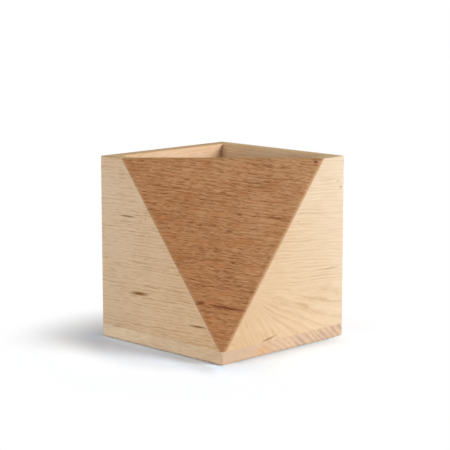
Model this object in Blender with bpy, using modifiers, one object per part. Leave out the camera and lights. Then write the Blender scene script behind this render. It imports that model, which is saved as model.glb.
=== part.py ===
"""Wooden pencil pot: a square box of mitred boards with one corner sliced off by a leaning facet.

Four upright boards stand on a base board. A thin panel closes the opening that the slice leaves in the
two front boards. Loose tongues lock the three upright mitres. The boards start over-size, are sawn along
their joints, and are then all brought down to one finished form with eased edges, as a glued-up pot is
sanded, so that neighbours stay flush.

Metres, +Z up. The origin is the middle of the pot's underside. The plan is a square standing on its
corner, so the facet faces -Y and the pot is the same on both sides of the plane X = 0.
"""

from math import atan2, cos, radians, sqrt

import bmesh
import bpy
from mathutils import Matrix, Vector

MM = 0.001

# The finished pot
SIDE = 100 * MM             # outside width of each upright face
HEIGHT = 107 * MM
WALL = 9 * MM               # thickness of the four upright boards
BASE = 7.5 * MM             # thickness of the base board
PANEL = 4 * MM              # thickness of the facet panel
FACET_START = 4.8 * MM      # height on the front corner where the slice begins
RIM_RUN = 18.5 * MM         # rim that the slice leaves on each front board
EDGE_EASE = 0.8 * MM        # rounding of every outer edge
RIM_EASE = 0.5 * MM         # flat taken off the rim's inner edge
EASE_STEPS = 3

# Joinery
FIT = 0.3 * MM              # clearance between pieces that meet
TONGUE_STOP = 12 * MM       # tongues end this far below the rim
TONGUE_REACH_SHARE = 0.45   # depth into each board, of the wall's thickness
TONGUE_THICK_SHARE = 0.22   # of the wall's thickness

# Wood left on a rough board outside the finished form, and overrun of every cutter
SPARE = 3 * MM

# Places that follow from the sizes above
CORNER = SIDE / sqrt(2)                     # pot's middle to an upright corner
RIM_SETBACK = RIM_RUN / sqrt(2)             # facet's top edge, in front of the pot's middle
SEAT = BASE + FIT                           # underside of everything that stands on the base board
FACET_FOOT = Vector((0, -CORNER, FACET_START))
FACET_HEAD = Vector((0, -RIM_SETBACK, HEIGHT))
SLOPE = FACET_HEAD - FACET_FOOT
FACET_OUT = Vector((0, -SLOPE.z, SLOPE.y)).normalized()
LEAN = atan2(SLOPE.y, SLOPE.z)              # facet's lean from upright

# Outward directions of the walls and corners, turned from +Y
LEFT = radians(90)
RIGHT = radians(-90)
FRONT_LEFT = radians(135)
FRONT_RIGHT = radians(-135)
BACK_LEFT = radians(45)
BACK_RIGHT = radians(-45)
BACK = 0


def srgb(code):
    """Linear colour with alpha from a six-digit sRGB hex code."""
    levels = [int(code[i:i + 2], 16) / 255 for i in (0, 2, 4)]
    linear = [v / 12.92 if v <= 0.04045 else ((v + 0.055) / 1.055) ** 2.4 for v in levels]
    return (*linear, 1)


PALE_BEECH = ("DDBF99", 0.5)
RED_BEECH = ("B28561", 0.5)
BASE_BEECH = ("D9BA94", 0.5)
TONGUE_BEECH = ("CBA882", 0.6)


def clear_scene():
    for thing in list(bpy.data.objects):
        bpy.data.objects.remove(thing)


def new_collection(name):
    collection = bpy.data.collections.new(name)
    bpy.context.scene.collection.children.link(collection)
    return collection


def turned(angle):
    return Matrix.Rotation(angle, 4, "Z")


def block(name, size, place, collection):
    """A cuboid of the given size, with its scale applied, put where the matrix says."""
    mesh = bpy.data.meshes.new(name)
    cuboid = bmesh.new()
    bmesh.ops.create_cube(cuboid, size=1)
    bmesh.ops.scale(cuboid, vec=size, verts=cuboid.verts)
    cuboid.to_mesh(mesh)
    cuboid.free()
    obj = bpy.data.objects.new(name, mesh)
    collection.objects.link(obj)
    obj.matrix_world = place
    return obj


def saw(obj, point, outward):
    """Saw off what lies beyond a plane given in the pot's frame, and leave the cut face closed."""
    to_board = obj.matrix_world.inverted()
    solid = bmesh.new()
    solid.from_mesh(obj.data)
    everything = solid.verts[:] + solid.edges[:] + solid.faces[:]
    cut = bmesh.ops.bisect_plane(
        solid, geom=everything, plane_co=to_board @ point,
        plane_no=to_board.to_3x3() @ outward.normalized(), clear_outer=True)
    rim = [part for part in cut["geom_cut"] if isinstance(part, bmesh.types.BMEdge)]
    bmesh.ops.contextual_create(solid, geom=rim)
    bmesh.ops.recalc_face_normals(solid, faces=solid.faces)
    solid.to_mesh(obj.data)
    solid.free()


def boolean(obj, cutter, operation):
    modifier = obj.modifiers.new(cutter.name, "BOOLEAN")
    modifier.operation = operation
    modifier.solver = "EXACT"
    modifier.object = cutter


def wood(obj, look):
    """A plain wood material of the piece's own, from a colour code and a roughness."""
    code, roughness = look
    material = bpy.data.materials.new(obj.name)
    material.use_nodes = True
    shader = material.node_tree.nodes["Principled BSDF"]
    shader.inputs["Base Color"].default_value = srgb(code)
    shader.inputs["Roughness"].default_value = roughness
    shader.inputs["Metallic"].default_value = 0
    obj.data.materials.append(material)


def cutting_tool(obj):
    obj.hide_render = True
    obj.display_type = "WIRE"
    return obj


def make_finished_form(tools):
    """The outside of the finished pot: a square block, sliced by the facet, with eased edges."""
    form = block("finished_form", (SIDE, SIDE, HEIGHT),
                 Matrix.Translation((0, 0, HEIGHT / 2)) @ turned(FRONT_LEFT), tools)
    saw(form, FACET_FOOT, FACET_OUT)
    ease = form.modifiers.new("eased edges", "BEVEL")
    ease.width = EDGE_EASE
    ease.segments = EASE_STEPS
    ease.limit_method = "NONE"
    return cutting_tool(form)


def facet_joint(side):
    """Plane between a front wall and the facet panel, and its direction out of the wall.

    It runs from the outer edge, where the wall's face meets the facet, to the line where the wall's
    inner face meets the panel's inner face, so boards of unlike thickness close on both sides.
    """
    wall_out = turned(side) @ Vector((0, 1, 0))
    out_of_wall = (FACET_OUT / PANEL - wall_out / WALL).normalized()
    return FACET_FOOT, out_of_wall


def make_wall(name, side, look, form, parts):
    """An upright board with its outer face square to one side, mitred at both ends."""
    length = SIDE + 2 * SPARE
    thick = WALL + SPARE
    tall = HEIGHT + SPARE - SEAT
    inner_face = SIDE / 2 - WALL
    place = turned(side) @ Matrix.Translation((0, inner_face + thick / 2, SEAT + tall / 2))
    wall = block(name, (length, thick, tall), place, parts)
    for end in (-1, 1):
        out_of_mitre = turned(side) @ Vector((end, -1, 0)).normalized()
        saw(wall, -out_of_mitre * FIT / 2, out_of_mitre)
    rim_edge = turned(side) @ Vector((0, inner_face, HEIGHT - RIM_EASE))
    saw(wall, rim_edge, turned(side) @ Vector((0, -1, 1)))
    boolean(wall, form, "INTERSECT")
    wood(wall, look)
    return wall


def fit_wall_to_facet(wall, side):
    point, out_of_wall = facet_joint(side)
    saw(wall, point - out_of_wall * FIT / 2, out_of_wall)


def make_facet_panel(form, parts):
    """The leaning front board, bevelled along both sloping edges to meet the front walls."""
    size = (2 * CORNER, PANEL + SPARE, SLOPE.length + 2 * (PANEL + SPARE))
    middle = (FACET_FOOT + FACET_HEAD) / 2 - FACET_OUT * (PANEL - SPARE) / 2
    place = Matrix.Translation(middle) @ Matrix.Rotation(-LEAN, 4, "X")
    panel = block("front_facet_panel", size, place, parts)
    for side in (FRONT_LEFT, FRONT_RIGHT):
        point, out_of_wall = facet_joint(side)
        saw(panel, point + out_of_wall * FIT / 2, -out_of_wall)
    saw(panel, Vector((0, 0, SEAT)), Vector((0, 0, -1)))
    rim_edge = Vector((0, PANEL / cos(LEAN) - RIM_SETBACK - RIM_EASE, HEIGHT))
    saw(panel, rim_edge, Vector((0, 0, 1)) - FACET_OUT)
    boolean(panel, form, "INTERSECT")
    wood(panel, RED_BEECH)


def make_base_board(form, parts):
    size = (SIDE + 2 * SPARE, SIDE + 2 * SPARE, BASE + SPARE)
    place = turned(FRONT_LEFT) @ Matrix.Translation((0, 0, (BASE - SPARE) / 2))
    base = block("base_board", size, place, parts)
    boolean(base, form, "INTERSECT")
    wood(base, BASE_BEECH)


def make_mitre_tongue(name, corner, walls, parts, tools):
    """A loose tongue across an upright mitre, with the groove that it leaves in both walls.

    It stands on the base board and stops below the rim. It sits nearer the inside than the outside,
    midway in the wood that is left at its full depth.
    """
    reach = WALL * TONGUE_REACH_SHARE
    thick = WALL * TONGUE_THICK_SHARE
    tall = HEIGHT - TONGUE_STOP - SEAT
    out = CORNER - (WALL * sqrt(2) + reach) / 2
    place = turned(corner) @ Matrix.Translation((0, out, SEAT + tall / 2))
    tongue = block(name, (2 * reach, thick, tall), place, parts)
    wood(tongue, TONGUE_BEECH)

    deep = tall + FIT + SPARE
    place = turned(corner) @ Matrix.Translation((0, out, SEAT + tall + FIT - deep / 2))
    size = (2 * (reach + FIT), thick + 2 * FIT, deep)
    groove = cutting_tool(block(name + "_groove", size, place, tools))
    for wall in walls:
        boolean(wall, groove, "DIFFERENCE")


clear_scene()
pot_parts = new_collection("pencil_pot")
saw_tools = new_collection("cutters")
finished_form = make_finished_form(saw_tools)

front_left = make_wall("left_front_wall", FRONT_LEFT, PALE_BEECH, finished_form, pot_parts)
front_right = make_wall("right_front_wall", FRONT_RIGHT, PALE_BEECH, finished_form, pot_parts)
back_left = make_wall("back_left_wall", BACK_LEFT, PALE_BEECH, finished_form, pot_parts)
back_right = make_wall("back_right_wall", BACK_RIGHT, PALE_BEECH, finished_form, pot_parts)
fit_wall_to_facet(front_left, FRONT_LEFT)
fit_wall_to_facet(front_right, FRONT_RIGHT)
make_facet_panel(finished_form, pot_parts)
make_base_board(finished_form, pot_parts)

make_mitre_tongue("left_mitre_tongue", LEFT, (front_left, back_left), pot_parts, saw_tools)
make_mitre_tongue("right_mitre_tongue", RIGHT, (front_right, back_right), pot_parts, saw_tools)
make_mitre_tongue("back_mitre_tongue", BACK, (back_left, back_right), pot_parts, saw_tools)
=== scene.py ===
"""Wooden pencil pot: a square box of beech boards whose front corner is cut off by a leaning red facet.

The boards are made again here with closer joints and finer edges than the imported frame's, because the
real pot is glued up and sanded flush. The loose tongues inside the mitres stay as the frame has them.

Metres, +Z up, facet facing -Y. Each wood is drawn in its own board's millimetres: X along the grain,
Y into the wood from the outer face, and Z up the board.
"""

from math import atan2, cos, radians, sin, sqrt

import bmesh
import bpy
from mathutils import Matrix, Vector


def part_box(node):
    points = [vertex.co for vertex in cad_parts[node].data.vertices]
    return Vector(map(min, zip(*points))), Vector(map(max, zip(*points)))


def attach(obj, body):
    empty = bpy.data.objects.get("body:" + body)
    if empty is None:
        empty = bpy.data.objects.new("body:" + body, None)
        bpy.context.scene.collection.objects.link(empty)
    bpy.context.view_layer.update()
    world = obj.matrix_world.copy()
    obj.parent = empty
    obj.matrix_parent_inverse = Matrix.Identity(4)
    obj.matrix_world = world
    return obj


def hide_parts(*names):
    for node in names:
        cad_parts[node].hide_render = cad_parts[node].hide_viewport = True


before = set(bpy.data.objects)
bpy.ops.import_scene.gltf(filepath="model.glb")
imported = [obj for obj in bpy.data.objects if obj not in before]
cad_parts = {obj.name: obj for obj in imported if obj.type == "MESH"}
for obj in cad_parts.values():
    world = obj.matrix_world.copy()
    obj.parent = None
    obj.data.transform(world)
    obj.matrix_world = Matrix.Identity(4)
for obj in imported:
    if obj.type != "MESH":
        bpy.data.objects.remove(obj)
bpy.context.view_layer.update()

MM = 0.001

# The pot's own sizes, as its frame has them
SIDE = 100 * MM
HEIGHT = 107 * MM
WALL = 9 * MM
BASE = 7.5 * MM
PANEL = 4 * MM
FACET_START = 4.8 * MM      # height on the front corner where the slice begins
RIM_RUN = 18.5 * MM         # rim that the slice leaves on each front board

# How closely the real boards meet, and how their edges are sanded
EDGE_EASE = 0.85 * MM       # rounding of every outer edge
EDGE_STEPS = 5
FOOT_EASE = 1.5 * MM        # the same round the underside, which wears the most
RIM_EASE = 0.5 * MM         # rounding of the rim's inner edge
RIM_STEPS = 3
GLUE_LINE = 0.03 * MM       # between two boards
LEFT_LAP = 0.17 * MM        # the facet board's joints show this far outside its sloping edges, because
RIGHT_LAP = 0.75 * MM       # the edges were rounded after gluing
GROOVE_ROOM = 0.3 * MM      # round each loose tongue, as the frame has it

# Modelling tolerances
SAW_SNAP = 0.01 * MM        # a corner this close to a saw cut counts as on it
ON_PLANE = 0.01 * MM        # an edge this close to a plane lies in it
WELD = 0.002 * MM           # corners this close become one
SHARP_EDGE = radians(24)    # outer edges that turn more than this are rounded
SOFT_EDGE = radians(28)     # edges that turn less than this are shaded smooth

# Places that follow from the sizes above
CORNER = SIDE / sqrt(2)
RIM_SETBACK = RIM_RUN / sqrt(2)
FACET_FOOT = Vector((0, -CORNER, FACET_START))
FACET_HEAD = Vector((0, -RIM_SETBACK, HEIGHT))
SLOPE = FACET_HEAD - FACET_FOOT
FACET_OUT = Vector((0, -SLOPE.z, SLOPE.y)).normalized()
LEAN = atan2(SLOPE.y, SLOPE.z)

LEFT_OUT = Vector((-1, -1, 0)).normalized()
RIGHT_OUT = Vector((1, -1, 0)).normalized()
BACK_LEFT_OUT = Vector((-1, 1, 0)).normalized()
BACK_RIGHT_OUT = Vector((1, 1, 0)).normalized()


def linear(code):
    """Linear colour with alpha from a six-digit sRGB hex code."""
    levels = [int(code[i:i + 2], 16) / 255 for i in (0, 2, 4)]
    return (*[v / 12.92 if v <= 0.04045 else ((v + 0.055) / 1.055) ** 2.4 for v in levels], 1)


# Boards

def pick_only(obj):
    bpy.ops.object.select_all(action="DESELECT")
    obj.select_set(True)
    bpy.context.view_layer.objects.active = obj


def edit(obj, kind="FACE"):
    """Opens one piece in edit mode with everything in it selected."""
    pick_only(obj)
    bpy.ops.object.mode_set(mode="EDIT")
    bpy.ops.mesh.select_mode(type=kind)
    bpy.ops.mesh.select_all(action="SELECT")


def done():
    bpy.ops.object.mode_set(mode="OBJECT")


def saw(obj, point, outward):
    """Saws off what lies beyond a plane, and closes the cut."""
    edit(obj)
    bpy.ops.mesh.bisect(plane_co=point, plane_no=outward, use_fill=True, clear_outer=True,
                        threshold=SAW_SNAP)
    done()


def pick_edges(obj, wanted):
    """Selects the edges of the piece in edit mode that a test of their two ends picks out."""
    bpy.ops.mesh.select_all(action="DESELECT")
    mesh = bmesh.from_edit_mesh(obj.data)
    for line in mesh.edges:
        line.select_set(wanted(*[v.co for v in line.verts]))
    mesh.select_flush_mode()
    bmesh.update_edit_mesh(obj.data)


def finished_outside():
    """The sanded outside of the whole pot, which every board is then sawn from."""
    bpy.ops.object.select_all(action="DESELECT")
    bpy.ops.mesh.primitive_cube_add(size=1, location=(0, 0, HEIGHT / 2), scale=(SIDE, SIDE, HEIGHT))
    block = bpy.context.active_object
    bpy.ops.object.transform_apply(location=True, rotation=True, scale=True)
    edit(block)
    bpy.ops.transform.rotate(value=radians(45), orient_axis="Z", center_override=(0, 0, 0))
    done()
    saw(block, FACET_FOOT, FACET_OUT)
    edit(block, "EDGE")
    pick_edges(block, lambda a, b: max(a.z, b.z) < ON_PLANE)
    bpy.ops.mesh.bevel(offset=FOOT_EASE, segments=EDGE_STEPS, profile=0.5, affect="EDGES")
    bpy.ops.mesh.select_all(action="DESELECT")
    bpy.ops.mesh.edges_select_sharp(sharpness=SHARP_EDGE)
    bpy.ops.mesh.bevel(offset=EDGE_EASE, segments=EDGE_STEPS, profile=0.5, affect="EDGES")
    done()
    return block


def board_from(outside, name):
    """A copy of the sanded outside, to be sawn down to one board."""
    pick_only(outside)
    bpy.ops.object.duplicate()
    board = bpy.context.active_object
    board.name = name
    board.data.name = name
    return board


def ease_rim(board, inner_out, inner_offset):
    """Rounds the edge between the rim and the board's inner face."""
    def on_both(point):
        return point.z > HEIGHT - ON_PLANE and abs(point.dot(inner_out) - inner_offset) < ON_PLANE

    edit(board, "EDGE")
    pick_edges(board, lambda a, b: on_both(a) and on_both(b))
    bpy.ops.mesh.bevel(offset=RIM_EASE, segments=RIM_STEPS, profile=0.5, affect="EDGES")
    done()


def smooth_finish(board):
    """Clean corners and smooth sanded edges, and normals that point out of the wood."""
    edit(board, "VERT")
    bpy.ops.mesh.remove_doubles(threshold=WELD)
    bpy.ops.mesh.normals_make_consistent(inside=False)
    done()
    pick_only(board)
    bpy.ops.object.shade_smooth_by_angle(angle=SOFT_EDGE)


def facet_joint(wall_out):
    """Plane between a front board and the facet board, and its direction out of the front board.

    It runs from just outside the sloping edge towards the line where the two boards' inner faces meet.
    """
    towards_panel = (FACET_OUT / PANEL - wall_out / WALL).normalized()
    lap = RIGHT_LAP if wall_out.x > 0 else LEFT_LAP
    return FACET_FOOT - towards_panel * lap, towards_panel


def make_wall(outside, name, out, mitres):
    """An upright board, mitred towards each of the given directions and seated on the base board."""
    wall = board_from(outside, name)
    inner = SIDE / 2 - WALL
    saw(wall, out * inner, -out)
    for away in mitres:
        saw(wall, -away * GLUE_LINE / 2, away)
    saw(wall, Vector((0, 0, BASE + GLUE_LINE)), Vector((0, 0, -1)))
    return wall, inner


def make_back_wall(outside, name, out, mitres):
    wall, inner = make_wall(outside, name, out, mitres)
    ease_rim(wall, out, inner)
    return wall


def make_front_wall(outside, name, out, mitres):
    wall, inner = make_wall(outside, name, out, mitres)
    point, towards_panel = facet_joint(out)
    saw(wall, point - towards_panel * GLUE_LINE / 2, towards_panel)
    ease_rim(wall, out, inner)
    return wall


def make_facet_board(outside, name):
    panel = board_from(outside, name)
    inner_point = FACET_HEAD - FACET_OUT * PANEL
    saw(panel, inner_point, -FACET_OUT)
    for wall_out in (LEFT_OUT, RIGHT_OUT):
        point, towards_panel = facet_joint(wall_out)
        saw(panel, point + towards_panel * GLUE_LINE / 2, -towards_panel)
    saw(panel, Vector((0, 0, BASE + GLUE_LINE)), Vector((0, 0, -1)))
    ease_rim(panel, FACET_OUT, inner_point.dot(FACET_OUT))
    return panel


def make_base_board(outside, name):
    base = board_from(outside, name)
    saw(base, Vector((0, 0, BASE)), Vector((0, 0, 1)))
    return base


def cut_groove(board, tongue):
    """Cuts the groove for a loose tongue, open at the bottom as it was milled."""
    low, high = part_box(tongue)
    room = Vector((GROOVE_ROOM,) * 3)
    low = low - room - Vector((0, 0, 2 * WALL))
    high = high + room
    bpy.ops.object.select_all(action="DESELECT")
    bpy.ops.mesh.primitive_cube_add(size=1, location=(low + high) / 2, scale=high - low)
    cutter = bpy.context.active_object
    bpy.ops.object.transform_apply(location=True, rotation=True, scale=True)
    pick_only(board)
    groove = board.modifiers.new("groove", "BOOLEAN")
    groove.operation = "DIFFERENCE"
    groove.object = cutter
    bpy.ops.object.modifier_apply(modifier="groove")
    bpy.data.objects.remove(cutter)


outside = finished_outside()
to_back = Vector((0, 1, 0))
to_front = Vector((0, -1, 0))
to_left = Vector((-1, 0, 0))
to_right = Vector((1, 0, 0))
left_board = make_front_wall(outside, "left_front_beech_board", LEFT_OUT, (to_back, to_right))
right_board = make_front_wall(outside, "right_front_beech_board", RIGHT_OUT, (to_back, to_left))
back_left_board = make_back_wall(outside, "back_left_beech_board", BACK_LEFT_OUT, (to_front, to_right))
back_right_board = make_back_wall(outside, "back_right_beech_board", BACK_RIGHT_OUT, (to_front, to_left))
facet_board = make_facet_board(outside, "facet_red_beech_board")
base_board = make_base_board(outside, "base_beech_board")
bpy.data.objects.remove(outside)

for board, tongues in (
        (left_board, ("left_mitre_tongue",)),
        (right_board, ("right_mitre_tongue",)),
        (back_left_board, ("left_mitre_tongue", "back_mitre_tongue")),
        (back_right_board, ("right_mitre_tongue", "back_mitre_tongue"))):
    for tongue in tongues:
        cut_groove(board, tongue)

for board, node, slot in (
        (left_board, "left_front_wall", "left_front_board"),
        (right_board, "right_front_wall", "right_front_board"),
        (back_left_board, "back_left_wall", "back_left_board"),
        (back_right_board, "back_right_wall", "back_right_board"),
        (facet_board, "front_facet_panel", "facet_board"),
        (base_board, "base_board", "base_wood")):
    smooth_finish(board)
    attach(board, "root")
    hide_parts(node)


# Woods, in the boards' millimetres

HALF = 50                       # the pot's middle to a side
TALL = HEIGHT / MM
SLANT_TALL = SLOPE.length / MM
FACET_SPREAD = atan2(CORNER - RIM_SETBACK, SLOPE.length)    # each sloping edge from the facet's middle line

PERCENT = 0.01
DARKEST_PART_OF_YEAR = 0.74     # where in a year's growth its dark line peaks

# Rings round a limb, by their distance from its pith
ROUND_TO = 12                   # they are round up to here,
LEVEL_FROM = 38                 # level or fanned out from here on,
CLEAR_FROM = 50                 # and seen in full from here on
LIMB_FAINTNESS = 0.5            # how strongly they show next to the pith
ROUND_RATE = 0.5                # how close together the round ones are, against the others
DEPTH_SHARE = 0.9               # how fast they change into the wood, against up its face

# The same by their distance from the centre of the fan, where they run together
FAN_FAINT_TO = 8
FAN_CLEAR_FROM = 42
FAN_FAINTNESS = 0.2

# Paler wood along the facet's sloping edges, from where it is palest to where it ends, inward of the edge
PALEST_AT = -0.5
PALE_END = 1.4
PALENESS = 0.6


def add(tree, kind, inputs=None, **settings):
    """Adds a node, sets it up, and fills its inputs with links or values."""
    made = tree.nodes.new("ShaderNode" + kind)
    for name, value in settings.items():
        setattr(made, name, value)
    for name, value in (inputs or {}).items():
        if isinstance(value, bpy.types.NodeSocket):
            tree.links.new(value, made.inputs[name])
        else:
            made.inputs[name].default_value = value
    return made


def rings_round_limb(tree, wavy, radius, fan):
    """Where a limb grew, rings are round only close to the pith. Further out they are level above a place
    beside it, and below it they fan out from there. The fibres lie along them.

    Gives the rings' distance from the pith, the place that the fibres follow, and how strongly rings show.
    """
    beside, level, gather = fan
    spot = add(tree, "SeparateXYZ", {"Vector": wavy})
    aside = add(tree, "Math", {0: spot.outputs["X"], 1: beside}, operation="SUBTRACT")
    below = add(tree, "Math", {0: level, 1: spot.outputs["Z"]}, operation="SUBTRACT")
    angle = add(tree, "Math", {0: below.outputs["Value"], 1: aside.outputs["Value"]}, operation="ARCTAN2")
    turned = add(tree, "Math", {0: angle.outputs["Value"], 1: 0}, operation="MAXIMUM")
    above = add(tree, "Math", {0: below.outputs["Value"], 1: 0}, operation="MINIMUM")
    height = add(tree, "Math", {0: turned.outputs["Value"], 1: gather, 2: above.outputs["Value"]},
                 operation="MULTIPLY_ADD")
    depth_in = add(tree, "Math", {0: spot.outputs["Y"], 1: DEPTH_SHARE, 2: gather * radians(90)},
                   operation="MULTIPLY_ADD")
    sheet = add(tree, "Math", {0: depth_in.outputs["Value"], 1: height.outputs["Value"]},
                operation="SUBTRACT")

    from_centre = add(tree, "CombineXYZ", {"X": aside.outputs["Value"], "Y": below.outputs["Value"]})
    from_centre = add(tree, "VectorMath", {0: from_centre.outputs["Vector"]}, operation="LENGTH")
    spread = add(tree, "MapRange", {"Value": from_centre.outputs["Value"], "From Min": FAN_FAINT_TO,
                                    "From Max": FAN_CLEAR_FROM, "To Min": FAN_FAINTNESS})
    clear = add(tree, "MapRange", {"Value": radius, "From Min": ROUND_TO, "From Max": CLEAR_FROM,
                                   "To Min": LIMB_FAINTNESS})
    softer = add(tree, "Math", {0: clear.outputs["Result"], 1: spread.outputs["Result"]},
                 operation="MULTIPLY").outputs["Value"]

    out = add(tree, "MapRange", {"Value": radius, "From Min": ROUND_TO, "From Max": LEVEL_FROM})
    round_rings = add(tree, "Math", {0: radius, 1: ROUND_RATE}, operation="MULTIPLY")
    radius = add(tree, "Mix", {0: out.outputs["Result"], 2: round_rings.outputs["Value"],
                               3: sheet.outputs["Value"]}).outputs["Result"]
    follow = add(tree, "CombineXYZ", {"X": spot.outputs["X"], "Y": spot.outputs["Y"], "Z": radius})
    return radius, follow.outputs["Vector"], softer


def beech(
        name,
        start,                      # the middle of the pot's underside, in the board's millimetres
        turn=0, lean=0,             # from the pot's frame to the board's
        slant=0,                    # of the grain, in degrees
        light="EBCAA4", middle="E2BE9A", dark="C79B6E",
        depth=0.37,                 # how far the plain wood is from light to dark
        pith=(0, 60, -80),          # middle of the growth rings,
        pith_stretch=8,             # and how far the grain draws them out
        fan=None,                   # beside a limb: across and up to the fan's centre, and its size
        ring_gap=2.6, ring_show=0.1, uneven=2.4, late_wood=0.3,
        outer_rings=None,           # rings come in between these two distances from the pith
        patch=(17, 9, 3.5),         # size of the patches in which rings and flecks come and go
        painted_light_fade=(0, 0, 0),             # how the tone changes over the board, in percent a millimetre: painted light and shade, through the colour and through the tone
        painted_light_tilt=(0, 0, 0),           # the light that has met it and by its own growth
        wander=4,                   # how far the fibres stray
        strand=(9, 0.8),            # length and width of a strand of fibres
        strand_show=0.5, hair_show=0.3, fleck_show=0.3, cloud_show=0.3, end_show=0,
        # painted shade and warm bounce light on the up-facing faces, the rim most
        painted_rim_shade_show=0.5, rim="C5993E",
        red_show=0, red="C08254",
        marks=(),                   # each a place, half sizes, a tilt in degrees and a strength
        mark_colour="8A6038",
        pale_edges=None):
    """Beech, planed, sanded fine and oiled: a close wood with a satin face and no shine. It shows soft
    growth rings, fibres that wander a little, and the short brown ray flecks that beech is known by."""
    material = bpy.data.materials.new(name)
    material.use_nodes = True
    tree = material.node_tree
    shader = tree.nodes["Principled BSDF"]
    middle_of_board = (start[0], 0, TALL / 2)

    # The board's own millimetres, then the same turned by the slant of its grain
    place = add(tree, "TexCoord")
    board = add(tree, "Mapping", {
        "Vector": place.outputs["Object"], "Location": start, "Rotation": (lean, 0, turn),
        "Scale": (1 / MM, 1 / MM, 1 / MM)}).outputs["Vector"]
    grain = add(tree, "Mapping", {"Vector": board, "Rotation": (0, radians(slant), 0)}).outputs["Vector"]

    # Fibres wander by a millimetre or two over a few centimetres
    slow = add(tree, "Mapping", {"Vector": grain, "Scale": (30, 14, 11)}, vector_type="TEXTURE")
    drift = add(tree, "TexNoise", {"Vector": slow.outputs["Vector"], "Scale": 1, "Detail": 2,
                                   "Roughness": 0.5})
    centred = add(tree, "VectorMath", {0: drift.outputs["Color"], 1: (0.5, 0.5, 0.5)},
                  operation="SUBTRACT")
    bend = add(tree, "VectorMath", {0: centred.outputs["Vector"], 1: (0, wander, wander)},
               operation="MULTIPLY")
    wavy = add(tree, "VectorMath", {0: grain, 1: bend.outputs["Vector"]},
               operation="ADD").outputs["Vector"]

    # Growth rings round the pith, drawn out along the grain
    oval = add(tree, "Mapping", {"Vector": wavy, "Location": pith, "Scale": (pith_stretch, 1, 1)},
               vector_type="TEXTURE")
    radius = add(tree, "VectorMath", {0: oval.outputs["Vector"]}, operation="LENGTH").outputs["Value"]
    softer = 1
    if fan:
        radius, wavy, softer = rings_round_limb(tree, wavy, radius, fan)

    # They are unevenly spaced, and each ends in a thin darker line that comes and goes
    years = add(tree, "Math", {0: radius, 1: ring_gap}, operation="DIVIDE").outputs["Value"]
    weather = add(tree, "TexNoise", {"W": years, "Scale": 0.37, "Detail": 1}, noise_dimensions="1D")
    spaced = add(tree, "Math", {0: weather.outputs["Fac"], 1: uneven, 2: years}, operation="MULTIPLY_ADD")
    season = add(tree, "Math", {0: spaced.outputs["Value"]}, operation="FRACT")
    ring = add(tree, "ValToRGB", {"Fac": season.outputs["Value"]})
    ring.color_ramp.elements[0].position = late_wood
    ring.color_ramp.elements[0].color = (0, 0, 0, 1)
    ring.color_ramp.elements[1].position = DARKEST_PART_OF_YEAR
    ring.color_ramp.elements[1].color = (1, 1, 1, 1)
    ring.color_ramp.elements.new(1).color = (0, 0, 0, 1)
    patchy = add(tree, "Mapping", {"Vector": wavy, "Scale": patch}, vector_type="TEXTURE")
    strength = add(tree, "TexNoise", {"Vector": patchy.outputs["Vector"], "Scale": 1, "Detail": 1})
    strengths = add(tree, "MapRange", {"Value": strength.outputs["Fac"], "From Min": 0.35, "From Max": 0.65,
                                       "To Min": 0.4})
    rings = add(tree, "Math", {0: ring.outputs["Color"], 1: strengths.outputs["Result"]},
                operation="MULTIPLY")
    rings = add(tree, "Math", {0: rings.outputs["Value"], 1: softer}, operation="MULTIPLY")
    if outer_rings:
        grown = add(tree, "MapRange", {"Value": radius, "From Min": outer_rings[0],
                                       "From Max": outer_rings[1]})
        rings = add(tree, "Math", {0: rings.outputs["Value"], 1: grown.outputs["Result"]},
                    operation="MULTIPLY")

    # Fibres, drawn about a millimetre apart, several times coarser than they are
    long, wide = strand
    run = add(tree, "Mapping", {"Vector": wavy, "Scale": (long, wide * 1.3, wide)}, vector_type="TEXTURE")
    fibre = add(tree, "TexNoise", {"Vector": run.outputs["Vector"], "Scale": 1, "Detail": 3,
                                   "Roughness": 0.6})
    fibres = add(tree, "MapRange", {"Value": fibre.outputs["Fac"], "From Min": 0.25, "From Max": 0.75,
                                    "To Min": -0.5, "To Max": 0.5})
    thin = add(tree, "Mapping", {"Vector": wavy, "Scale": (long * 0.8, wide * 0.6, wide * 0.5)},
               vector_type="TEXTURE")
    hair = add(tree, "TexNoise", {"Vector": thin.outputs["Vector"], "Scale": 1, "Detail": 1})
    hairs = add(tree, "MapRange", {"Value": hair.outputs["Fac"], "From Min": 0.54, "From Max": 0.68})

    # Ray flecks: dark thin dashes 3 to 6 mm long, in drifts
    dash = add(tree, "Mapping", {"Vector": wavy, "Scale": (6.5, 2, 1)}, vector_type="TEXTURE")
    ray = add(tree, "TexVoronoi", {"Vector": dash.outputs["Vector"], "Scale": 1})
    flecks = add(tree, "MapRange", {"Value": ray.outputs["Distance"], "From Min": 0.36, "From Max": 0.12})
    shown_flecks = add(tree, "Math", {0: flecks.outputs["Result"], 1: strengths.outputs["Result"]},
                       operation="MULTIPLY")

    # Clouds: slow change of tone from one part of the board to the next
    broad = add(tree, "Mapping", {"Vector": grain, "Scale": (30, 20, 12)}, vector_type="TEXTURE")
    cloud = add(tree, "TexNoise", {"Vector": broad.outputs["Vector"], "Scale": 1, "Detail": 2})
    clouds = add(tree, "MapRange", {"Value": cloud.outputs["Fac"], "From Min": 0.25, "From Max": 0.75,
                                    "To Min": -0.5, "To Max": 0.5})

    # Painted light and shade tilt the tone from one end of a board to the other, and cut ends are darker
    # than faces
    from_middle = add(tree, "VectorMath", {0: board, 1: middle_of_board}, operation="SUBTRACT")
    painted_light_tone = add(tree, "VectorMath", {0: from_middle.outputs["Vector"], 1: painted_light_tilt}, operation="DOT_PRODUCT")
    facing = add(tree, "Mapping", {"Vector": place.outputs["Normal"], "Rotation": (lean, 0, turn)})
    parts = add(tree, "SeparateXYZ", {"Vector": facing.outputs["Vector"]})
    end = add(tree, "Math", {0: parts.outputs["X"]}, operation="ABSOLUTE")

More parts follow.
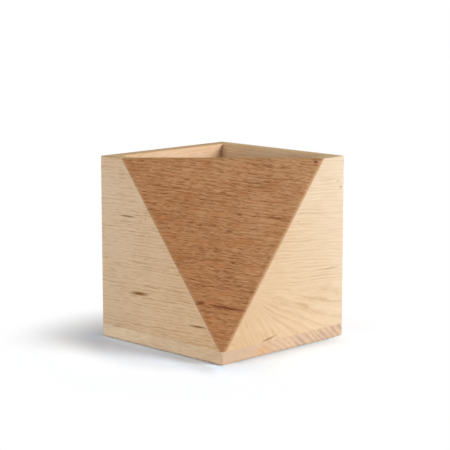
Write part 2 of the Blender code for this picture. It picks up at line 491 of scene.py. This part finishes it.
    # Fibres show less where they are cut across
    lengthwise = add(tree, "Math", {0: end.outputs["Value"], 1: -0.7, 2: 1}, operation="MULTIPLY_ADD")
    shown_fibres = add(tree, "Math", {0: fibres.outputs["Result"], 1: lengthwise.outputs["Value"]},
                       operation="MULTIPLY")

    # Tone adds all of them up and runs from light to dark
    tone = add(tree, "Math", {0: rings.outputs["Value"], 1: ring_show, 2: depth}, operation="MULTIPLY_ADD")
    for part, share in (
            (shown_fibres.outputs["Value"], strand_show),
            (hairs.outputs["Result"], hair_show),
            (shown_flecks.outputs["Value"], fleck_show),
            (clouds.outputs["Result"], cloud_show),
            (painted_light_tone.outputs["Value"], PERCENT),
            (end.outputs["Value"], end_show)):
        tone = add(tree, "Math", {0: part, 1: share, 2: tone.outputs["Value"]}, operation="MULTIPLY_ADD")
    colour = add(tree, "ValToRGB", {"Fac": tone.outputs["Value"]})
    colour.color_ramp.elements[0].color = linear(light)
    colour.color_ramp.elements[1].color = linear(dark)
    colour.color_ramp.elements.new(0.5).color = linear(middle)

    # Painted light and shade: the colour goes lighter or darker across the board, the way the lamps fall on
    # it
    painted_light_gradient = add(tree, "VectorMath", {0: from_middle.outputs["Vector"], 1: painted_light_fade}, operation="DOT_PRODUCT")
    painted_light_gamma = add(tree, "Math", {0: painted_light_gradient.outputs["Value"], 1: PERCENT, 2: 1}, operation="MULTIPLY_ADD")
    shown = add(tree, "Gamma", {"Color": colour.outputs["Color"], "Gamma": painted_light_gamma.outputs["Value"]}
                ).outputs["Color"]

    # Redder drifts of older wood
    if red_show:
        warm = add(tree, "Mapping", {"Vector": wavy, "Location": (7, 3, 5), "Scale": (13, 8, 4)},
                   vector_type="TEXTURE")
        blush = add(tree, "TexNoise", {"Vector": warm.outputs["Vector"], "Scale": 1, "Detail": 2})
        blushes = add(tree, "MapRange", {"Value": blush.outputs["Fac"], "From Min": 0.5, "From Max": 0.75,
                                         "To Max": red_show})
        shown = add(tree, "MixRGB", {"Fac": blushes.outputs["Result"], "Color1": shown,
                                     "Color2": linear(red)}).outputs["Color"]

    # Painted shade and warm bounce light: the up-facing faces, the rim most, go darker and warmer
    up = add(tree, "MapRange", {"Value": parts.outputs["Z"], "From Min": 0.3, "From Max": 0.95,
                                "To Max": painted_rim_shade_show})
    shown = add(tree, "MixRGB", {"Fac": up.outputs["Result"], "Color1": shown, "Color2": linear(rim)}
                ).outputs["Color"]

    # Sanding has paled the sloping edges
    if pale_edges:
        rise = add(tree, "SeparateXYZ", {"Vector": board})
        aside = add(tree, "Math", {0: rise.outputs["X"]}, operation="ABSOLUTE")
        across = add(tree, "Math", {0: aside.outputs["Value"], 1: -cos(FACET_SPREAD)}, operation="MULTIPLY")
        inside = add(tree, "Math", {0: rise.outputs["Z"], 1: sin(FACET_SPREAD), 2: across.outputs["Value"]},
                     operation="MULTIPLY_ADD")
        worn = add(tree, "MapRange", {"Value": inside.outputs["Value"], "From Min": PALEST_AT,
                                      "From Max": PALE_END, "To Min": PALENESS, "To Max": 0})
        shown = add(tree, "MixRGB", {"Fac": worn.outputs["Result"], "Color1": shown,
                                     "Color2": linear(pale_edges)}).outputs["Color"]

    # Marks: the few dark gum streaks and pin knots of this board, each a ragged lens in the wood
    ragged = add(tree, "VectorMath", {0: centred.outputs["Vector"], 1: (1, 0, 1)}, operation="MULTIPLY")
    torn = add(tree, "VectorMath", {0: board, 1: ragged.outputs["Vector"]}, operation="ADD")
    dark_part = None
    for where, half_sizes, tilt, share in marks:
        lens = add(tree, "Mapping", {
            "Vector": torn.outputs["Vector"], "Location": where, "Rotation": (0, -radians(tilt), 0),
            "Scale": half_sizes}, vector_type="TEXTURE")
        ball = add(tree, "TexGradient", {"Vector": lens.outputs["Vector"]}, gradient_type="SPHERICAL")
        one = add(tree, "MapRange", {"Value": ball.outputs["Fac"], "From Max": 0.7, "To Max": share})
        dark_part = one.outputs["Result"] if dark_part is None else add(
            tree, "Math", {0: dark_part, 1: one.outputs["Result"]}, operation="MAXIMUM").outputs["Value"]
    if marks:
        shown = add(tree, "MixRGB", {"Fac": dark_part, "Color1": shown,
                                     "Color2": linear(mark_colour)}).outputs["Color"]

    # A satin face, a little uneven in shine and relief where pores and flecks open
    polish = add(tree, "MapRange", {"Value": fibre.outputs["Fac"], "From Min": 0.3, "From Max": 0.7,
                                    "To Min": 0.5, "To Max": 0.66})
    pores = add(tree, "Math", {0: flecks.outputs["Result"], 1: 0.6, 2: fibres.outputs["Result"]},
                operation="MULTIPLY_ADD")
    relief = add(tree, "Bump", {"Height": pores.outputs["Value"], "Strength": 0.1, "Distance": 0.04 * MM},
                 invert=True)
    tree.links.new(shown, shader.inputs["Base Color"])
    tree.links.new(polish.outputs["Result"], shader.inputs["Roughness"])
    tree.links.new(relief.outputs["Normal"], shader.inputs["Normal"])
    shader.inputs["Metallic"].default_value = 0
    shader.inputs["IOR"].default_value = 1.5
    shader.inputs["Specular IOR Level"].default_value = 0.2
    return material


def finish_board(board, material):
    board.data.materials.clear()
    board.data.materials.append(material)


# Each board's tone gradients below are painted light and shade across its face
finish_board(left_board, beech(
    "left_board_beech", start=(HALF, HALF, 0), turn=radians(45), slant=2, depth=0.33, pith=(20, 30, 300),
    pith_stretch=10, ring_gap=1.9, ring_show=0.36, uneven=1.6, late_wood=0.15, patch=(24, 9, 4), wander=2.5,
    painted_light_fade=(0.25, 0, -0.06), strand=(6.5, 0.42), strand_show=0.8, hair_show=0.1, fleck_show=0.08,
    cloud_show=0.2, light="F6DAB5", middle="ECC9A2", dark="C69663", mark_colour="92602A",
    marks=(((23.3, 0, TALL - 33.0), (8.5, 2.5, 0.8), 2, 0.75),
           ((38.5, 0, TALL - 33), (0.8, 2.5, 1.2), 0, 0.3),
           ((32.8, 0, TALL - 76.8), (9.5, 2.5, 1.4), 3.5, 1),
           ((80.8, 0, TALL - 88.3), (9, 2.5, 0.8), 2.5, 0.95))))
finish_board(right_board, beech(
    "right_board_beech", start=(HALF, HALF, 0), turn=radians(-45), slant=-5, depth=0.35, pith=(5, 0, 4),
    pith_stretch=1, fan=(9, 41, 20), ring_gap=1.9, ring_show=0.36, uneven=1.1, late_wood=0.12,
    patch=(30, 8, 4), painted_light_fade=(-0.42, 0, -0.2), wander=3, strand=(12, 0.45), strand_show=0.45,
    hair_show=0.02, fleck_show=0.04, cloud_show=0.2, light="E4CCAD", middle="D7BA97", dark="BB9973",
    mark_colour="80552C",
    marks=(((97, 0, TALL - 18), (1.0, 2.5, 1.0), 0, 0.6),
           ((94.5, 0, TALL - 14.5), (2, 2.5, 0.6), 0, 0.4),
           ((60.5, 0, TALL - 34.3), (1.1, 2.5, 0.8), 0, 0.25),
           ((89, 0, TALL - 64.7), (9, 2.5, 0.6), 0, 0.4),
           ((36.8, 0, TALL - 98), (7.4, 2.5, 0.9), 8, 0.6))))
finish_board(back_left_board, beech(
    "back_left_board_beech", start=(HALF, HALF, 0), turn=radians(135), slant=-2, pith=(70, 40, -60),
    pith_stretch=9, ring_gap=2.1, ring_show=0.3, strand=(7, 0.5), hair_show=0.15, fleck_show=0.1))
finish_board(back_right_board, beech(
    "back_right_board_beech", start=(HALF, HALF, 0), turn=radians(-135), slant=1, pith=(40, 25, 160),
    pith_stretch=7, ring_gap=2.1, ring_show=0.3, strand=(7, 0.5), hair_show=0.15, fleck_show=0.1,
    light="F4D6AE", middle="ECCAA3", dark="D2A67A"))

# The facet board's zero is on its outer face, where the slice begins on the front corner
facet_depth = (FACET_HEAD.z * SLOPE.y - FACET_HEAD.y * SLOPE.z) / SLOPE.length / MM
facet_rise = -(FACET_FOOT.z * SLOPE.z + FACET_FOOT.y * SLOPE.y) / SLOPE.length / MM
finish_board(facet_board, beech(
    "facet_board_red_beech", start=(0, facet_depth, facet_rise), lean=LEAN, slant=-8,
    light="C39369", middle="AB794F", dark="723F18", pith=(40, 60, 260), pith_stretch=9, ring_gap=2.1,
    ring_show=0.34, uneven=1.6, painted_light_fade=(-0.12, 0, -0.12), strand=(4.3, 0.37), strand_show=1.02,
    hair_show=0.35, fleck_show=0.15, red_show=0.45, red="B06E3E", mark_colour="642E10",
    pale_edges="D2AC82",
    marks=(((53.3, 0, SLANT_TALL - 2.2), (1.8, 2.5, 0.9), 0, 1),
           ((-20, 0, SLANT_TALL - 13), (2.4, 2.5, 0.8), -5, 0.6),
           ((18.4, 0, SLANT_TALL - 15), (6, 2.5, 0.6), -6, 0.5),
           ((25.3, 0, SLANT_TALL - 20.2), (6.5, 2.5, 0.6), -4, 0.5),
           ((-21.8, 0, SLANT_TALL - 31), (5, 2.5, 1.5), -4, 0.3),
           ((30, 0, SLANT_TALL - 36.2), (9, 2.5, 0.7), -6, 0.65),
           ((18.6, 0, SLANT_TALL - 43), (6, 2.5, 0.6), -6, 0.5),
           ((4, 0, SLANT_TALL - 44), (2.8, 2.5, 1.2), -8, 0.6),
           ((-12, 0, SLANT_TALL - 86.3), (3.4, 2.5, 1.6), -4, 0.8),
           ((2.5, 0, SLANT_TALL - 89), (13.5, 2.5, 1.2), -10, 0.85))))
finish_board(base_board, beech(
    "base_board_beech", start=(HALF, HALF, 0), turn=radians(45), depth=0.17, pith=(50, -120, -225),
    pith_stretch=30, ring_gap=3.3, ring_show=0.36, uneven=1.4, late_wood=0.15, patch=(20, 12, 12),
    outer_rings=(266, 282), wander=3, painted_light_tilt=(0.35, -0.15, 0), strand=(8, 0.6), hair_show=0.15,
    fleck_show=0.05, cloud_show=0.2, end_show=0.4, light="FFE7C5", middle="E4C29D", dark="B39A89",
    mark_colour="D29A62",
    marks=(((100, 32, 3.5), (4, 9, 3.5), 0, 0.42),)))

tongue_wood = beech("tongue_beech", start=(0, 0, 0), light="D9B894", middle="CBA680", dark="A9835C")
for tongue in ("left_mitre_tongue", "right_mitre_tongue", "back_mitre_tongue"):
    finish_board(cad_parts[tongue], tongue_wood)


# Studio: a pale table, a soft main light from the right, a weaker one from the left, and a white room

TABLE_WIDTH = 8

bpy.ops.object.select_all(action="DESELECT")
bpy.ops.mesh.primitive_plane_add(size=TABLE_WIDTH, location=(0, 0, 0))
table = bpy.context.active_object
table.name = "studio_table"
bpy.ops.object.transform_apply(location=True, rotation=True, scale=True)

TABLE_TONE = 0.85                   # how pale the paper is to the light in the room
TABLE_LIFT = (1.62, 1.68, 1.74)     # how pale the camera sees it, as in a white sweep lit to the full

# Painted soft shade before the left side, neutral grey, laid on the paper's colour over the lamps' own
# shadow there
SHADE_LIFT = (1.25, 1.36, 1.48)
SHADE_PLACE = (-0.0385, -0.0335, 0)
SHADE_SIZE = (0.066, 0.047, 1)

# Painted faint shade before the lit side, fading in at both ends of it
HALO_LIFT = (0.89, 0.95, 0.97)
HALO_REACH = 14 * MM
HALO_ENDS = ((-0.066, -0.034), (0.056, 0.034))

# The painted left shade ends in a faint painted one before the front corner. Each pair runs from where it
# is gone to where it is at its full level, by the distance out of the left side or by the place along X
FRONT_LEVEL = 0.58
FRONT_NEAR = (1.5 * MM, 7 * MM)
FRONT_FAR = (23 * MM, 6 * MM)
FRONT_ENDS = ((-0.036, -0.016), (0.001, -0.009))
TINT_LOSS = -1.8                    # how fast the tints below give way to it

# Painted tints that keep the shade grey where the wood throws its warm light on the table
SHADED_TINT = (0.92, 1.02, 1.19)    # before the shaded left side
LIT_TINT = (0.95, 1, 1.06)          # and before the lit right one
BOUNCE_REACH = 34 * MM
SHADED_REACH_SHARE = 1.1            # distances count for this much more before the shaded side

# Painted dark line of contact shade where the underside's rounded edge meets the table
CONTACT_REACH = 1.5 * MM
CONTACT_SHADED = (0.58, 0.52, 0.46)     # before the left side, warm with the wood's own light
CONTACT_LIT = (0.84, 0.83, 0.82)        # and before the right one
SIDE_BLEND = 2 * MM                     # the two sides' shades run together at the corners over this

# The table goes over into the plain background between these two distances from the middle of the shade:
# plain white painted over the lamps' shadow from there on
SHADE_MIDDLE_TO_POT = (0.010, 0.025, 0)
PLAIN_BEGINS = 0.058
ALL_PLAIN = 0.128

ROOM_LIGHT = 0.15


def looked_at(tree):
    """1 for what the camera sees, also in a shine or through something clear, and 0 for all other light."""
    path = add(tree, "LightPath")
    seen = add(tree, "Math", {0: path.outputs["Is Camera Ray"], 1: path.outputs["Is Glossy Ray"]},
               operation="MAXIMUM")
    return add(tree, "Math", {0: seen.outputs["Value"], 1: path.outputs["Is Transmission Ray"]},
               operation="MAXIMUM").outputs["Value"]


def white_paper(name):
    """White paper, a matt sweep lit to the full. The eye finds no edge or horizon in it, only the pot's
    soft neutral shade, part the lamps' shadow and part shade painted into the paper's colour, which ends in
    painted plain white. To the light in the room it is plain pale paper."""
    material = bpy.data.materials.new(name)
    material.use_nodes = True
    tree = material.node_tree
    tree.nodes.remove(tree.nodes["Principled BSDF"])

    # Places square to the pot's sides: X out of the right front side, and -Y out of the left front one
    place = add(tree, "TexCoord").outputs["Object"]
    plan = add(tree, "SeparateXYZ", {"Vector": place})
    turned = add(tree, "Mapping", {"Vector": place, "Rotation": (0, 0, radians(45))}).outputs["Vector"]
    square = add(tree, "SeparateXYZ", {"Vector": turned})
    folded = add(tree, "VectorMath", {0: turned}, operation="ABSOLUTE")
    across = add(tree, "SeparateXYZ", {"Vector": folded.outputs["Vector"]})

    # Painted soft shade before the left side
    under = add(tree, "Mapping", {"Vector": place, "Location": SHADE_PLACE,
                                  "Rotation": (0, 0, radians(-45)), "Scale": SHADE_SIZE},
                vector_type="TEXTURE")
    blob = add(tree, "TexGradient", {"Vector": under.outputs["Vector"]}, gradient_type="SPHERICAL")
    shade = add(tree, "MapRange", {"Value": blob.outputs["Fac"], "From Max": 0.5},
                interpolation_type="SMOOTHSTEP")

    # Painted faint shade before the lit side
    away = add(tree, "Math", {0: square.outputs["X"], 1: SIDE / 2}, operation="SUBTRACT")
    away = add(tree, "Math", {0: away.outputs["Value"]}, operation="ABSOLUTE")
    away = add(tree, "Math", {0: away.outputs["Value"], 1: -1 / HALO_REACH}, operation="MULTIPLY")
    halo = add(tree, "Math", {0: away.outputs["Value"]}, operation="EXPONENT")
    for start, end in HALO_ENDS:
        side = add(tree, "MapRange", {"Value": square.outputs["Y"], "From Min": start, "From Max": end},
                   interpolation_type="SMOOTHSTEP")
        halo = add(tree, "Math", {0: halo.outputs["Value"], 1: side.outputs["Result"]},
                   operation="MULTIPLY")

    # And the painted one before the front corner
    off = add(tree, "Math", {0: -SIDE / 2, 1: square.outputs["Y"]}, operation="SUBTRACT")
    front = FRONT_LEVEL
    for value, (start, end) in (
            (off.outputs["Value"], FRONT_NEAR),
            (off.outputs["Value"], FRONT_FAR),
            (plan.outputs["X"], FRONT_ENDS[0]),
            (plan.outputs["X"], FRONT_ENDS[1])):
        side = add(tree, "MapRange", {"Value": value, "From Min": start, "From Max": end},
                   interpolation_type="SMOOTHSTEP")
        front = add(tree, "Math", {0: front, 1: side.outputs["Result"]},
                    operation="MULTIPLY").outputs["Value"]
    # The two painted faint shades together
    painted_faint_shade = add(tree, "Math", {0: halo.outputs["Value"], 1: front}, operation="MAXIMUM")

    # 1 before the lit pair of sides and 0 before the other pair
    to_lit = add(tree, "Math", {0: across.outputs["X"], 1: across.outputs["Y"]}, operation="SUBTRACT")
    lit = add(tree, "MapRange", {"Value": to_lit.outputs["Value"], "From Min": -SIDE_BLEND,
                                 "From Max": SIDE_BLEND})

    # Painted tint against the warm light from the wood
    shaded_way = add(tree, "Math", {0: across.outputs["Y"], 1: SHADED_REACH_SHARE}, operation="MULTIPLY")
    warm_way = add(tree, "Math", {0: across.outputs["X"], 1: shaded_way.outputs["Value"]},
                   operation="MAXIMUM")
    warmed = add(tree, "MapRange", {"Value": warm_way.outputs["Value"], "From Min": SIDE / 2,
                                    "From Max": SIDE / 2 + BOUNCE_REACH, "To Min": 1, "To Max": 0},
                 interpolation_type="SMOOTHSTEP")
    kept = add(tree, "Math", {0: front, 1: TINT_LOSS, 2: 1}, operation="MULTIPLY_ADD", use_clamp=True)
    warmed = add(tree, "Math", {0: warmed.outputs["Result"], 1: kept.outputs["Value"]},
                 operation="MULTIPLY")
    tint = add(tree, "Mix", {"Factor": lit.outputs["Result"], 4: SHADED_TINT, 5: LIT_TINT},
               data_type="VECTOR")
    tint = add(tree, "Mix", {"Factor": warmed.outputs["Value"], 4: (1, 1, 1), 5: tint.outputs[1]},
               data_type="VECTOR")

    # Painted dark contact shade at the pot's foot
    reach = add(tree, "Math", {0: across.outputs["X"], 1: across.outputs["Y"]}, operation="MAXIMUM")
    clear = add(tree, "MapRange", {"Value": reach.outputs["Value"], "From Min": SIDE / 2 - FOOT_EASE,
                                   "From Max": SIDE / 2 + CONTACT_REACH})
    contact = add(tree, "Mix", {"Factor": lit.outputs["Result"], 4: CONTACT_SHADED, 5: CONTACT_LIT},
                  data_type="VECTOR")
    contact = add(tree, "Mix", {"Factor": clear.outputs["Result"], 4: contact.outputs[1], 5: (1, 1, 1)},
                  data_type="VECTOR")

    # All of them together
    lifted = add(tree, "Mix", {"Factor": shade.outputs["Result"], 4: TABLE_LIFT, 5: SHADE_LIFT},
                 data_type="VECTOR")
    lifted = add(tree, "Mix", {"Factor": painted_faint_shade.outputs["Value"], 4: lifted.outputs[1], 5: HALO_LIFT},
                 data_type="VECTOR")
    lifted = add(tree, "VectorMath", {0: lifted.outputs[1], 1: tint.outputs[1]}, operation="MULTIPLY")
    lifted = add(tree, "VectorMath", {0: lifted.outputs["Vector"], 1: contact.outputs[1]},
                 operation="MULTIPLY")
    bright_paper = add(tree, "BsdfDiffuse", {"Color": lifted.outputs["Vector"]})

    # Painted plain white further off, over the lamps' shadow there
    shifted = add(tree, "Mapping", {"Vector": place, "Location": SHADE_MIDDLE_TO_POT})
    far = add(tree, "VectorMath", {0: shifted.outputs["Vector"]}, operation="LENGTH")
    painted_light_fade = add(tree, "MapRange", {"Value": far.outputs["Value"], "From Min": PLAIN_BEGINS,
                                  "From Max": ALL_PLAIN}, interpolation_type="SMOOTHSTEP")
    plain_white = add(tree, "Emission", {"Color": (1, 1, 1, 1), "Strength": 1})
    sweep = add(tree, "MixShader", {0: painted_light_fade.outputs["Result"], 1: bright_paper.outputs["BSDF"],
                                    2: plain_white.outputs["Emission"]})

    room_paper = add(tree, "BsdfDiffuse", {"Color": (TABLE_TONE, TABLE_TONE, TABLE_TONE, 1)})
    either = add(tree, "MixShader", {0: looked_at(tree), 1: room_paper.outputs["BSDF"],
                                     2: sweep.outputs["Shader"]})
    tree.links.new(either.outputs["Shader"], tree.nodes["Material Output"].inputs["Surface"])
    return material


table.data.materials.append(white_paper("white_paper_sweep"))

world = bpy.data.worlds.new("white_room")
bpy.context.scene.world = world
world.use_nodes = True
sky = world.node_tree.nodes["Background"]
sky.inputs["Color"].default_value = (1, 1, 1, 1)
level = add(world.node_tree, "MapRange", {"Value": looked_at(world.node_tree), "To Min": ROOM_LIGHT,
                                          "To Max": 1})
world.node_tree.links.new(level.outputs["Result"], sky.inputs["Strength"])


def lamp(name, azimuth, elevation, level, width):
    """A far soft light. Level 1 lights a face square to it as bright as its colour is written."""
    bpy.ops.object.select_all(action="DESELECT")
    bpy.ops.object.light_add(type="SUN", rotation=(radians(90 - elevation), 0, radians(azimuth)))
    made = bpy.context.active_object
    made.name = name
    made.data.energy = level * radians(180)
    made.data.angle = radians(width)


lamp("main_softbox", azimuth=68, elevation=20, level=0.97, width=28)
lamp("fill_softbox", azimuth=-50, elevation=5, level=0.58, width=50)


# Camera: a long lens a metre away, looking slightly down at the front corner

CAMERA_PLACE = (0.0015, -0.9171, 0.2228)
CAMERA_DIP = 9.69           # degrees below level
CAMERA_LENS = 127.6         # millimetres, for the sensor's width below
SENSOR_WIDTH = 36

bpy.ops.object.camera_add(location=CAMERA_PLACE, rotation=(radians(90 - CAMERA_DIP), 0, 0))
camera = bpy.context.active_object
camera.name = "camera"
camera.data.sensor_width = SENSOR_WIDTH
camera.data.lens = CAMERA_LENS
camera.data.clip_start = 0.01
camera.data.clip_end = 50
bpy.context.scene.camera = camera
bpy.context.scene.view_settings.view_transform = "Standard"
